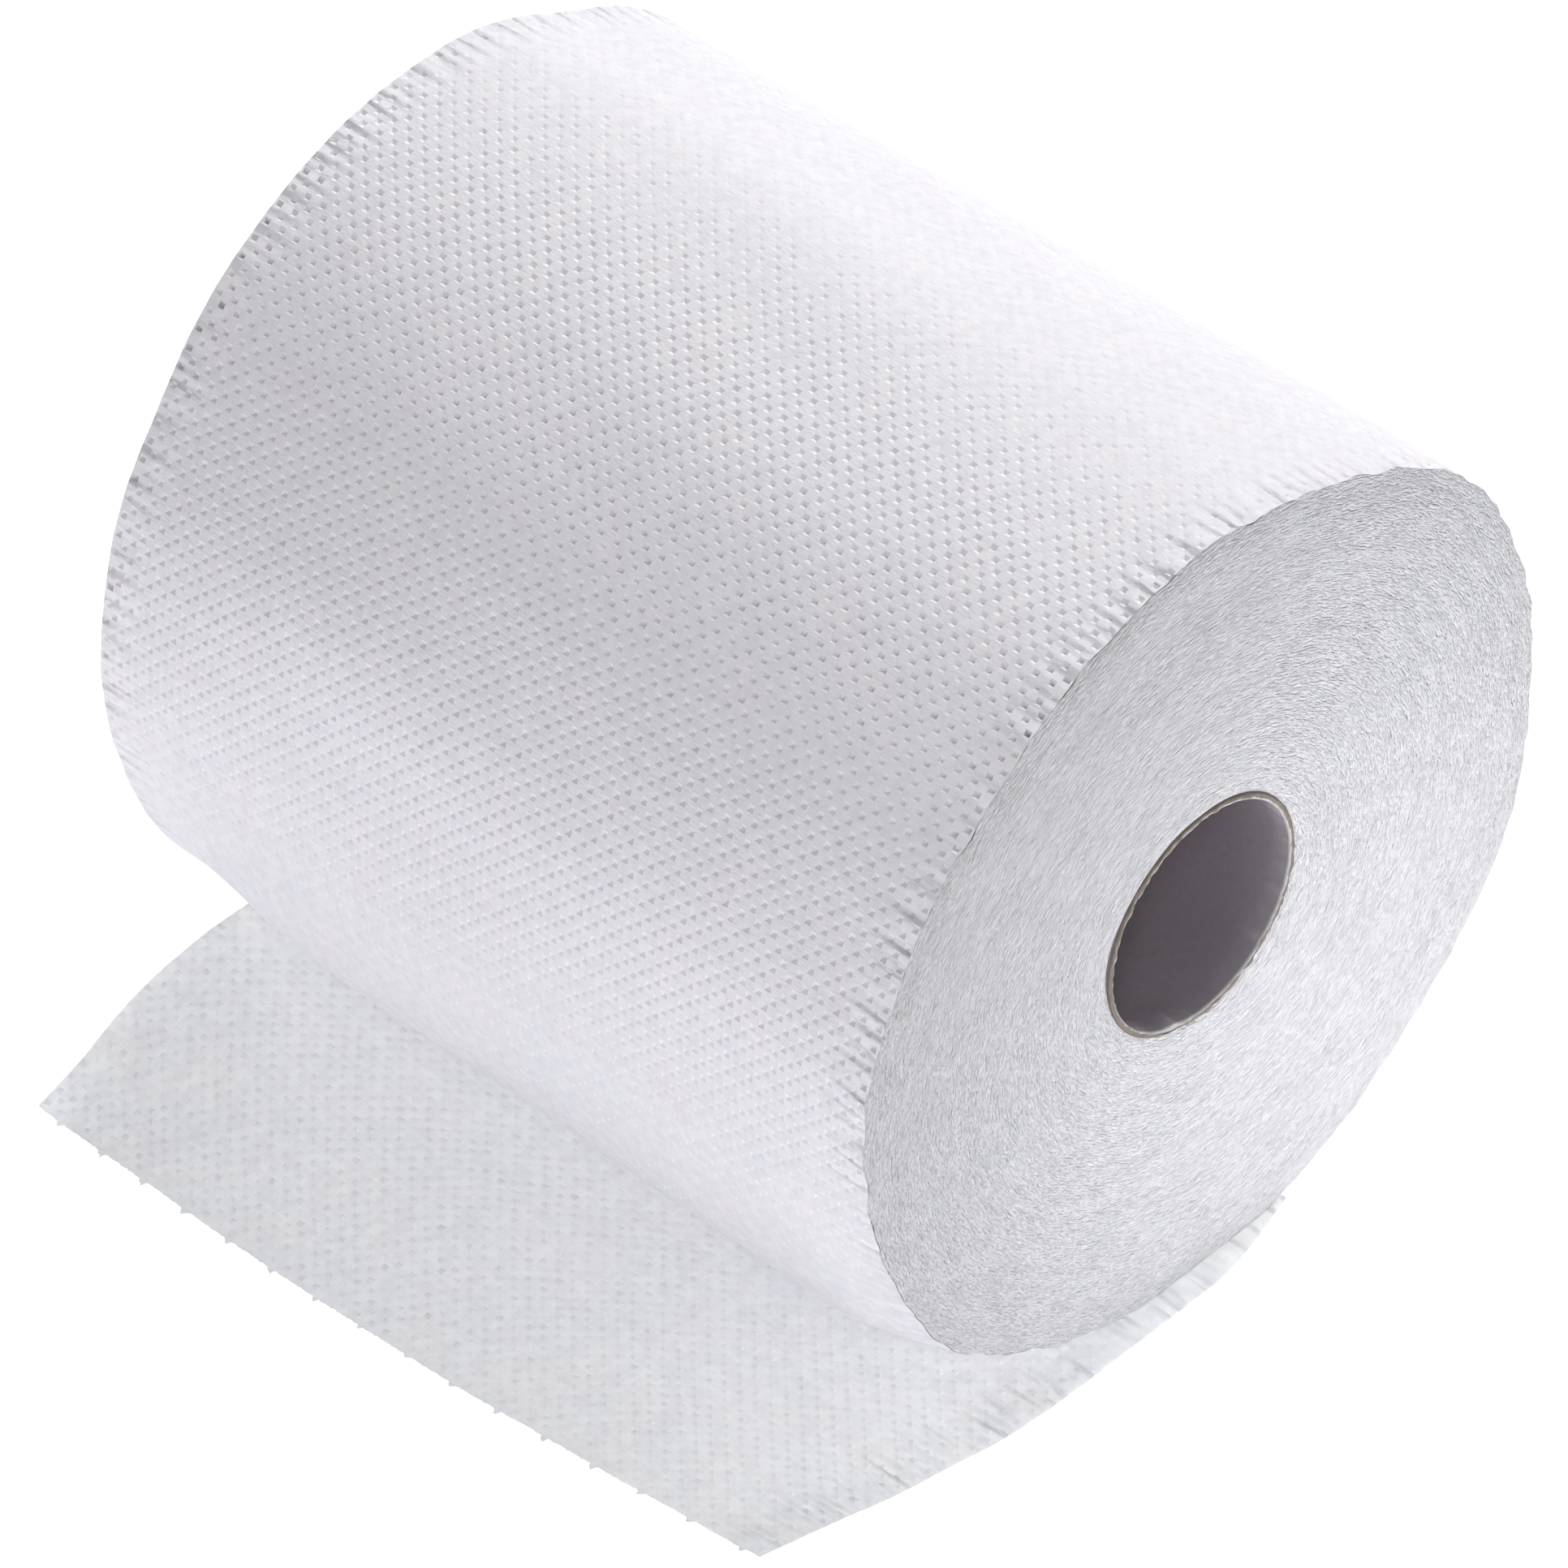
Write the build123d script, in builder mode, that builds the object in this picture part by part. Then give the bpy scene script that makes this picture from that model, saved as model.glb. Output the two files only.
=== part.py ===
"""Paper towel roll: embossed tissue wound on a cardboard core, lying on its side.

The core's axis lies along Y, the end that faces the viewer is at -Y and up is +Z.
The origin is the middle of the core's bore. The roll rests on a small flat spot,
and the first sheet leaves it there and lies free towards -X, as far as its torn edge.
Lengths are in millimetres.
"""

import os
from math import atan2, cos, hypot, radians, sin, sqrt

from build123d import *

# Sheet and roll
sheet_width = 200.0
sheet_thickness = 0.6
roll_diameter = 182.4
flat_spot_width = 30.0
rim_break = 1.0

# The wound body sits a little off the core: to the right and down, seen from the near end
wind_offset_x = 3.0
wind_offset_z = -2.7

# Cardboard core
core_bore = 48.0
core_wall = 1.3
core_fit = 0.1
core_edge_break = 0.3

# Turns that stand apart on the two end faces
turn_count = 5
turn_line_width = 0.8
turn_line_depth = 0.6
turn_margin = 5.0

# Free sheet, from the roll to the tear
tail_reach = 118.5
tail_drift = 4.0
tail_far_pull_in = 5.5
tail_near_lift = 21.0
tail_far_arch = 9.6
tear_slant_angle = -1.3

# Perforation bonds that stand out along the tear
bond_count = 16
bond_width = 1.6
bond_length = 1.2

# Overrun that lets every cut pass clear of what it cuts
cut_overrun = 5.0

# Worked-out sizes
roll_radius = roll_diameter / 2
half_width = sheet_width / 2
core_radius = core_bore / 2 + core_wall
hub_radius = core_radius + core_fit
floor_z = wind_offset_z - sqrt(roll_radius**2 - (flat_spot_width / 2) ** 2)

# The sheet lies flat under the roll as far as where the roll stands a thickness clear of it
flat_spot_drop = wind_offset_z - floor_z
clear_drop = flat_spot_drop - 2 * sheet_thickness
tail_root_x = wind_offset_x - sqrt(roll_radius**2 - clear_drop**2)

# Stations along the free sheet: how far from its root to the tear each lies, then, as
# shares of the near lift and of the far arch, how high the sheet's near edge, its middle
# and its far edge lie there, and the share of the sideways drift and of the pull-in
station_reach_shares = (0.0, 0.1, 0.25, 0.42, 0.6, 0.8, 1.0)
near_lift_shares = (0.0, 0.015, 0.075, 0.19, 0.38, 0.66, 1.0)
middle_lift_shares = (0.0, 0.02, 0.085, 0.18, 0.29, 0.38, 0.45)
far_arch_shares = (0.0, 0.13, 0.58, 0.97, 0.87, 0.35, 0.06)
drift_shares = (0.0, 0.6, 1.0, 1.0, 1.0, 1.0, 1.0)
pull_in_shares = (0.0, 0.0, 0.0, 0.0, 0.1, 0.5, 1.0)


def spiral_points(start_radius, end_radius):
    """Half-turn arcs of the winding, as (start, middle, end) points on the end face.

    The arcs' centres step along the line from the core's centre to the roll's centre, out by
    one gain and back by a smaller one, so the turns drift from the one to the other.
    """
    offset = hypot(wind_offset_x, wind_offset_z)
    heading = atan2(wind_offset_z, wind_offset_x)
    pitch = (end_radius - start_radius) / turn_count
    drift = offset / turn_count
    gains = ((pitch + drift) / 2, -(pitch - drift) / 2)
    centre = 0.0
    radius = start_radius
    arcs = []
    for half_turn in range(2 * turn_count):
        gain = gains[half_turn % 2]
        centre += gain
        radius += abs(gain)
        side = -1 if half_turn % 2 == 0 else 1
        along = (centre + side * radius, centre, centre - side * radius)
        across = (0.0, side * radius, 0.0)
        arcs.append(
            [
                (u * cos(heading) - v * sin(heading), u * sin(heading) + v * cos(heading))
                for u, v in zip(along, across)
            ]
        )
    return arcs


# Cardboard core: a plain tube with its cut edges broken
with BuildPart() as core_tube:
    with BuildSketch(Plane.XZ):
        Circle(core_radius)
        Circle(core_bore / 2, mode=Mode.SUBTRACT)
    extrude(amount=half_width, both=True)
    chamfer(core_tube.edges().filter_by(GeomType.CIRCLE), length=core_edge_break)

# Wound body with its flat spot, then the lines of its turns on both end faces, then the
# free sheet and the bonds of its torn perforation
with BuildPart() as paper_roll:
    with BuildSketch(Plane.XZ):
        with Locations((wind_offset_x, wind_offset_z)):
            Circle(roll_radius)
        Circle(hub_radius, mode=Mode.SUBTRACT)
    extrude(amount=half_width, both=True)
    rims = paper_roll.edges().filter_by(GeomType.CIRCLE).sort_by(SortBy.RADIUS)[-2:]
    chamfer(rims, length=rim_break)
    split(bisect_by=Plane.XY.offset(floor_z), keep=Keep.TOP)

    for end_plane in (Plane.XZ.offset(half_width), Plane.XZ.offset(-half_width)):
        with BuildSketch(end_plane):
            with BuildLine():
                for start, middle, end in spiral_points(
                    hub_radius + turn_margin, roll_radius - turn_margin
                ):
                    ThreePointArc(start, middle, end)
            trace(line_width=turn_line_width)
        inwards = -turn_line_depth if end_plane.origin.Y < 0 else turn_line_depth
        extrude(amount=inwards, mode=Mode.SUBTRACT)

    with BuildSketch(Plane.XZ):
        with Locations((tail_root_x, floor_z)):
            Rectangle(
                wind_offset_x - tail_root_x,
                sheet_thickness,
                align=(Align.MIN, Align.MIN),
            )
    extrude(amount=half_width, both=True)

    tail_length = tail_reach + tail_root_x + bond_length
    for index, reach_share in enumerate(station_reach_shares):
        station_plane = Plane.YZ.offset(tail_root_x - reach_share * tail_length)
        station_plane = station_plane.rotated((0, 0, reach_share * tear_slant_angle))
        near_y = -half_width - drift_shares[index] * tail_drift
        far_y = near_y + sheet_width - pull_in_shares[index] * tail_far_pull_in
        near_z = floor_z + near_lift_shares[index] * tail_near_lift
        middle_z = floor_z + middle_lift_shares[index] * tail_near_lift
        far_z = floor_z + far_arch_shares[index] * tail_far_arch
        middle_y = (near_y + far_y) / 2
        with BuildSketch(station_plane):
            with BuildLine():
                Spline((near_y, near_z), (middle_y, middle_z), (far_y, far_z))
                Line((far_y, far_z), (far_y, far_z + sheet_thickness))
                Spline(
                    (far_y, far_z + sheet_thickness),
                    (middle_y, middle_z + sheet_thickness),
                    (near_y, near_z + sheet_thickness),
                )
                Line((near_y, near_z + sheet_thickness), (near_y, near_z))
            make_face()
    loft()

    # Slits of the perforation, cut from the torn end, leave the bonds standing
    tear_plane = Plane(
        origin=(-tail_reach, -tail_drift - tail_far_pull_in / 2, floor_z - cut_overrun),
        x_dir=(cos(radians(tear_slant_angle)), sin(radians(tear_slant_angle)), 0),
    )
    bond_pitch = sheet_width / bond_count
    with BuildSketch(tear_plane):
        with GridLocations(bond_pitch, bond_pitch, 1, bond_count):
            Rectangle(
                cut_overrun + bond_length,
                bond_pitch - bond_width,
                align=(Align.MAX, Align.CENTER),
            )
    extrude(amount=tail_near_lift + 2 * cut_overrun, mode=Mode.SUBTRACT)

paper_roll.part.label = "paper_roll"
core_tube.part.label = "core_tube"

os.makedirs("parts", exist_ok=True)
export_step(core_tube.part, "parts/core_tube.step")
export_step(paper_roll.part, "parts/paper_roll.step")
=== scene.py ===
"""Looks of a paper towel roll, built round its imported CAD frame.

The roll lies on its side: the core runs along Y, the near end is at -Y and up is +Z.
Sizes in the classes are millimetres, and finished meshes are in metres, as the frame is.
Only the studio's lamps are placed in metres.
"""

import logging
import math
from dataclasses import dataclass
from enum import Enum
from typing import Any, Sequence

import bpy
import numpy as np
from mathutils import Matrix, Vector


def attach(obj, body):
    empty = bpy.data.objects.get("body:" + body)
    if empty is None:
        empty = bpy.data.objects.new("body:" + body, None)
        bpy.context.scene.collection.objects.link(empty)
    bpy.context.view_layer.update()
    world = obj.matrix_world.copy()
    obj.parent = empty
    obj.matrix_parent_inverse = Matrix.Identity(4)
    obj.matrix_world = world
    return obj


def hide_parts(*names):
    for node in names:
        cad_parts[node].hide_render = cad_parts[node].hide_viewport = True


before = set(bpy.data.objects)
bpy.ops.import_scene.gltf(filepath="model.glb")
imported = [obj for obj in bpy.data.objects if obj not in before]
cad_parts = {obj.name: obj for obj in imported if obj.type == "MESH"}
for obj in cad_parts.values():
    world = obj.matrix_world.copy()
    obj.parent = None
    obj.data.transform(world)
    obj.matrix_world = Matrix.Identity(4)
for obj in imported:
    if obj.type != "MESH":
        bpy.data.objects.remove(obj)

log = logging.getLogger("paper_towel_roll")

MM = 0.001
BODY = "root"


class Node(Enum):
    """CAD nodes that dressed pieces stand for."""

    ROLL = "paper_roll"
    CORE = "core_tube"


class Slot(Enum):
    """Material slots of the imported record."""

    TISSUE = "embossed_tissue"
    BOARD = "core_board"


class End(Enum):
    """The roll's two ends, as the sign of Y."""

    NEAR = -1
    FAR = 1


# Shared helpers


def linear(code: str) -> tuple[float, float, float, float]:
    """Turn an sRGB hex colour into linear values.

    Args:
        code: Six hex digits after a hash sign.

    Returns:
        Red, green, blue and a full alpha.
    """
    shares = [int(code[i : i + 2], 16) / 255 for i in (1, 3, 5)]
    turned = [s / 12.92 if s <= 0.04045 else ((s + 0.055) / 1.055) ** 2.4 for s in shares]
    return (*turned, 1.0)


def add_node(
    tree: bpy.types.NodeTree, kind: str, inputs: dict[Any, Any] | None = None, **settings: Any
) -> bpy.types.Node:
    """Add one shader node with its settings, values and links.

    Args:
        tree: Node tree that takes the node.
        kind: Blender's type name of the node.
        inputs: Values, or sockets to link, by input name or number.
        **settings: Properties of the node itself.

    Returns:
        The new node.
    """
    node = tree.nodes.new(kind)
    for name, value in settings.items():
        setattr(node, name, value)
    for key, value in (inputs or {}).items():
        if isinstance(value, bpy.types.NodeSocket):
            tree.links.new(value, node.inputs[key])
        else:
            node.inputs[key].default_value = value
    return node


def new_material(name: str) -> tuple[bpy.types.Material, bpy.types.NodeTree]:
    """Make an empty node material.

    Args:
        name: The material's name.

    Returns:
        The material and its cleared node tree.
    """
    material = bpy.data.materials.new(name)
    material.use_nodes = True
    material.node_tree.nodes.clear()
    return material, material.node_tree


def make_piece(
    name: str,
    points: np.ndarray,
    faces: Sequence[Sequence[int]],
    material: bpy.types.Material,
    crease: float = 180.0,
) -> bpy.types.Object:
    """Make a smooth mesh piece from points in millimetres.

    Args:
        name: The piece's name.
        points: One row of X, Y and Z for each vertex.
        faces: Vertex numbers of each face.
        material: Finish of the whole piece.
        crease: Angle in degrees above which an edge stays crisp.

    Returns:
        The linked mesh object.
    """
    mesh = bpy.data.meshes.new(name)
    mesh.from_pydata((points * MM).tolist(), [], faces)
    mesh.validate()
    mesh.shade_smooth()
    mesh.set_sharp_from_angle(angle=math.radians(crease))
    mesh.materials.append(material)
    piece = bpy.data.objects.new(name, mesh)
    bpy.context.scene.collection.objects.link(piece)
    return piece


def seat(piece: bpy.types.Object, node: Node) -> bpy.types.Object:
    """Fix a piece to the roll's body in place of its CAD node.

    Args:
        piece: The dressed piece.
        node: CAD node that the piece stands for.

    Returns:
        The same piece.
    """
    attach(piece, BODY)
    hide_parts(node.value)
    triangles = sum(len(p.vertices) - 2 for p in piece.data.polygons)
    log.info("%s: %d triangles", piece.name, triangles)
    return piece


def eased(
    query: np.ndarray,
    places: Sequence[float],
    values: Sequence[float],
    reach: float,
    period: float | None = None,
) -> np.ndarray:
    """Read a table of values with its corners smoothed away.

    Args:
        query: Where to read.
        places: Places of the table's values.
        values: The table's values.
        reach: Half width of the smoothing, in the same unit as the places.
        period: Length after which the table repeats, if it does.

    Returns:
        One value for each place asked.
    """
    steps = np.linspace(-reach, reach, 9)
    weights = 1 + np.cos(math.pi * steps / reach)
    total = sum(
        w * np.interp(query + s, places, values, period=period) for s, w in zip(steps, weights)
    )
    return total / weights.sum()


def grid_faces(across: int, around: int, flip: bool, first: int = 0) -> list[tuple[int, ...]]:
    """Quads of a grid that closes on itself the long way round.

    Args:
        across: Number of rows of points.
        around: Number of points in each row.
        flip: Turn the faces the other way.
        first: Number of the grid's first point.

    Returns:
        The quads.
    """
    faces = []
    for row in range(across - 1):
        for i in range(around):
            j = (i + 1) % around
            low, high = first + row * around, first + (row + 1) * around
            quad = (low + i, low + j, high + j, high + i)
            faces.append(quad[::-1] if flip else quad)
    return faces


@dataclass(frozen=True)
class Ripple:
    """Soft unevenness made of seeded waves that close round the roll."""

    height: float
    length: float
    stretch: float = 1.0
    waves: int = 14
    seed: int = 1
    spread: tuple[float, float] = (0.6, 1.7)

    def at(self, angle: np.ndarray, along: np.ndarray, radius: float) -> np.ndarray:
        """Read the unevenness.

        Args:
            angle: Angles round the roll, in radians.
            along: Places along the roll or out from its core.
            radius: Radius at which a wave has its length.

        Returns:
            Heights in millimetres.
        """
        rng = np.random.default_rng(self.seed)
        total = np.zeros(np.broadcast(angle, along).shape)
        for _ in range(self.waves):
            heading = rng.uniform(0, math.pi)
            size = self.length * rng.uniform(*self.spread)
            turns = round(math.tau * radius * math.cos(heading) / size)
            rise = math.tau * math.sin(heading) / (size * self.stretch)
            total += np.sin(turns * angle + rise * along + rng.uniform(0, math.tau))
        return self.height * total / math.sqrt(self.waves / 2)


@dataclass(frozen=True)
class RollForm:
    """Outer shape that the wound body, its two ends and its free sheet share.

    The presses list how far the soft roll stands out from a true circle at each end, as
    pairs of an angle in degrees, seen from the near end, and a height. The sag is how far the
    loose outer turns hang over the free sheet, and sag_along gives the share of it that each
    place along the roll has. The notch is a small dent in the near rim.
    """

    radius: float = 91.2
    half_width: float = 100.0
    centre_x: float = 3.0
    centre_z: float = -2.7
    flat_half_width: float = 15.0
    lie_gap: float = 0.45
    lie_softness: float = 1 / 3
    press_reach: float = 13.0
    sag_reach: float = 6.0
    sag_along_reach: float = 5.0
    rim_inset: float = 0.9
    notch_angle: float = 85.0
    notch_width: float = 2.4
    notch_depth: float = 1.5
    near_press: tuple[tuple[float, float], ...] = (
        (-161, -0.7), (-136, -0.2), (-112, 0.0), (-90, 0.0), (-63, -0.5), (-43, -1.0),
        (-24, 1.2), (-4, -1.0), (23, -0.5), (47, 1.6), (66, -1.6), (84, 0.2), (100, -0.2),
        (115, -1.2), (132, -0.9), (147, 0.5), (159, 0.9), (179, 0.0),
    )
    far_press: tuple[tuple[float, float], ...] = (
        (-169, -0.2), (-160, 0.4), (-149, 1.8), (-138, 3.6), (-125, 3.4), (-105, 0.5),
        (-60, 0.0), (0, 0.0), (45, -0.8), (66, -1.9), (79, 1.0), (93, 0.8), (107, -1.3),
        (117, -0.9), (131, -1.9), (145, -3.0), (156, -2.2), (167, -2.3), (177, -1.5),
    )
    sag: tuple[tuple[float, float], ...] = (
        (-174, 0.0), (-160, 2.2), (-148, 5.1), (-138, 5.7), (-128, 4.4), (-118, 2.2),
        (-108, 0.8), (-98, 0.0), (174, 0.0),
    )
    sag_along: tuple[tuple[float, float], ...] = (
        (-100, 0.0), (-92, 0.5), (-81, 0.95), (-71, 1.0), (-58, 1.0), (25, 1.0),
        (45, 0.9), (62, 0.72), (72, 0.52), (80, 0.28), (90, 0.05), (100, 0.0),
    )

    @property
    def floor_z(self) -> float:
        """Height of the surface that the roll lies on."""
        return self.centre_z - math.sqrt(self.radius**2 - self.flat_half_width**2)

    def swell(self, angle: np.ndarray, along: np.ndarray) -> np.ndarray:
        """Read how far the pressed roll stands out from its circle.

        Args:
            angle: Angles round the roll, in radians.
            along: Places along the roll.

        Returns:
            Heights in millimetres.
        """
        degrees = np.degrees(angle)
        near = eased(degrees, *zip(*self.near_press), self.press_reach, 360)
        far = eased(degrees, *zip(*self.far_press), self.press_reach, 360)
        share = np.clip((along + self.half_width) / (2 * self.half_width), 0, 1)
        aside = np.radians((degrees - self.notch_angle + 180) % 360 - 180) * self.radius
        inwards = (along + self.half_width) / (2 * self.notch_width)
        notch = self.notch_depth * np.exp(-((aside / self.notch_width) ** 2) - inwards**2)
        sag = eased(degrees, *zip(*self.sag), self.sag_reach, 360)
        sag = sag * eased(along, *zip(*self.sag_along), self.sag_along_reach)
        return near + (far - near) * share + sag - notch

    def place(self, angle: np.ndarray, along: np.ndarray, out: np.ndarray) -> np.ndarray:
        """Put points on the roll's outside, flattened where it lies.

        Args:
            angle: Angles round the roll, in radians.
            along: Places along the roll.
            out: How far each point stands out from the pressed shape.

        Returns:
            One row of X, Y and Z for each point.
        """
        reach = self.radius + self.swell(angle, along) + out
        lie = self.floor_z + self.lie_gap
        above = self.centre_z + reach * np.sin(angle) - lie
        z = lie + np.logaddexp(0, above / self.lie_softness) * self.lie_softness
        x = self.centre_x + reach * np.cos(angle)
        return np.column_stack([np.broadcast_to(a, z.shape).ravel() for a in (x, along, z)])


# Emboss pattern


@dataclass
class Cells:
    """Points and faces of an embossed sheet before it is bent into place.

    Places run in half pitches: across the web first, then along the row. The dip is 0 on
    the land and near 1 at the bottom of a pit.
    """

    column: np.ndarray
    row: np.ndarray
    dip: np.ndarray
    faces: list[tuple[int, ...]]
    first_row: list[int]
    last_row: list[int]
    last_column: list[int]


@dataclass(frozen=True)
class PitLattice:
    """Staggered square pits of the emboss roller, whose walls slope to a short ridge line."""

    columns: int
    rows: int
    closed: bool
    mouth_share: float = 0.37
    ridge_share: float = 0.15
    wander: float = 0.018
    depth_spread: float = 0.2
    depth_limits: tuple[float, float] = (0.3, 1.5)
    seed: int = 7

    CORNERS = ((-1, -1), (1, -1), (1, 1), (-1, 1))

    def lay(self) -> Cells:
        """Lay the pits and the land between them.

        Returns:
            The sheet's cells, with the edges as lists of point numbers.
        """
        rng = np.random.default_rng(self.seed)
        index: dict[tuple[int, int, int], int] = {}
        spots: list[tuple[float, float, float]] = []
        faces: list[tuple[int, ...]] = []
        start, stop = (0, self.columns) if self.closed else (-1, self.columns + 1)
        for i in range(start, stop):
            for j in range(-1, self.rows + 1):
                if (i + j) % 2:
                    continue
                inner = (self.closed or 0 <= i < self.columns) and 0 <= j < self.rows
                shift = rng.normal(0, self.wander, 2) if inner else (0.0, 0.0)
                for corner, (du, dv) in enumerate(self.CORNERS):
                    if not self._kept(i, j, du, dv):
                        continue
                    index[(i, j, corner)] = len(spots)
                    u, v = i + du * self.mouth_share, j + dv * self.mouth_share
                    spots.append((u + shift[0], v + shift[1], 0.0))
                if inner:
                    faces += self._pit(i, j, index, spots, shift, self._depth(rng))
        for i in range(start, stop):
            for j in range(-1, self.rows + 1):
                if (i + j) % 2:
                    faces += self._land(i, j, index)
        column, row, dip = (np.array(a) for a in zip(*spots))
        ends = {side: [] for side in ("low", "high", "end")}
        for (i, j, _), number in index.items():
            if j == -1:
                ends["low"].append(number)
            if j == self.rows:
                ends["high"].append(number)
            if i == self.columns:
                ends["end"].append(number)
        return Cells(
            column,
            row,
            dip,
            faces,
            sorted(ends["low"], key=lambda n: column[n]),
            sorted(ends["high"], key=lambda n: column[n]),
            sorted(ends["end"], key=lambda n: row[n]),
        )

    def _depth(self, rng: np.random.Generator) -> float:
        """Depth of one pit as a share of the usual one."""
        return float(np.clip(rng.normal(1.0, self.depth_spread), *self.depth_limits))

    def _kept(self, i: int, j: int, du: int, dv: int) -> bool:
        """Tell whether a corner lies on the sheet.

        Args:
            i: The pit's column.
            j: The pit's row.
            du: Which side of the pit the corner is on, across.
            dv: Which side of the pit the corner is on, along.

        Returns:
            True if the corner is kept.
        """
        rows = (j >= 0 or dv > 0) and (j < self.rows or dv < 0)
        columns = self.closed or ((i >= 0 or du > 0) and (i < self.columns or du < 0))
        return rows and columns

    def _pit(
        self,
        i: int,
        j: int,
        index: dict[tuple[int, int, int], int],
        spots: list[tuple[float, float, float]],
        shift: Sequence[float],
        depth: float,
    ) -> list[tuple[int, ...]]:
        """Add one pit's ridge line to the points.

        Args:
            i: The pit's column.
            j: The pit's row.
            index: Point numbers by column, row and corner.
            spots: The points so far, which grow by two.
            shift: How far the pit has wandered off its place.
            depth: The ridge line's dip.

        Returns:
            Faces of the four walls.
        """
        low = len(spots)
        high = low + 1
        for side in (-1, 1):
            spots.append((i + shift[0], j + side * self.ridge_share + shift[1], depth))
        a, b, c, d = (index[(i, j, corner)] for corner in range(4))
        return [(a, b, low), (b, c, high, low), (c, d, high), (d, a, low, high)]

    def _land(
        self, i: int, j: int, index: dict[tuple[int, int, int], int]
    ) -> list[tuple[int, ...]]:
        """Fill the land round one empty place.

        Args:
            i: The place's column.
            j: The place's row.
            index: Point numbers by column, row and corner.

        Returns:
            Three quads, or one smaller face at the sheet's edge.
        """
        left, right = i - 1, i + 1
        if self.closed:
            left, right = left % self.columns, right % self.columns
        keys = (
            (left, j, 1), (left, j, 2), (i, j + 1, 0), (i, j + 1, 1),
            (right, j, 3), (right, j, 0), (i, j - 1, 2), (i, j - 1, 3),
        )
        ring = [index.get(key) for key in keys]
        if None not in ring:
            l0, l1, t0, t1, r1, r0, b1, b0 = ring
            return [(r1, t1, t0, l1), (r0, r1, l1, l0), (b1, r0, l0, b0)]
        found = tuple(n for n in ring if n is not None)
        return [found[::-1]] if len(found) > 2 else []


# Finishes


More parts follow.
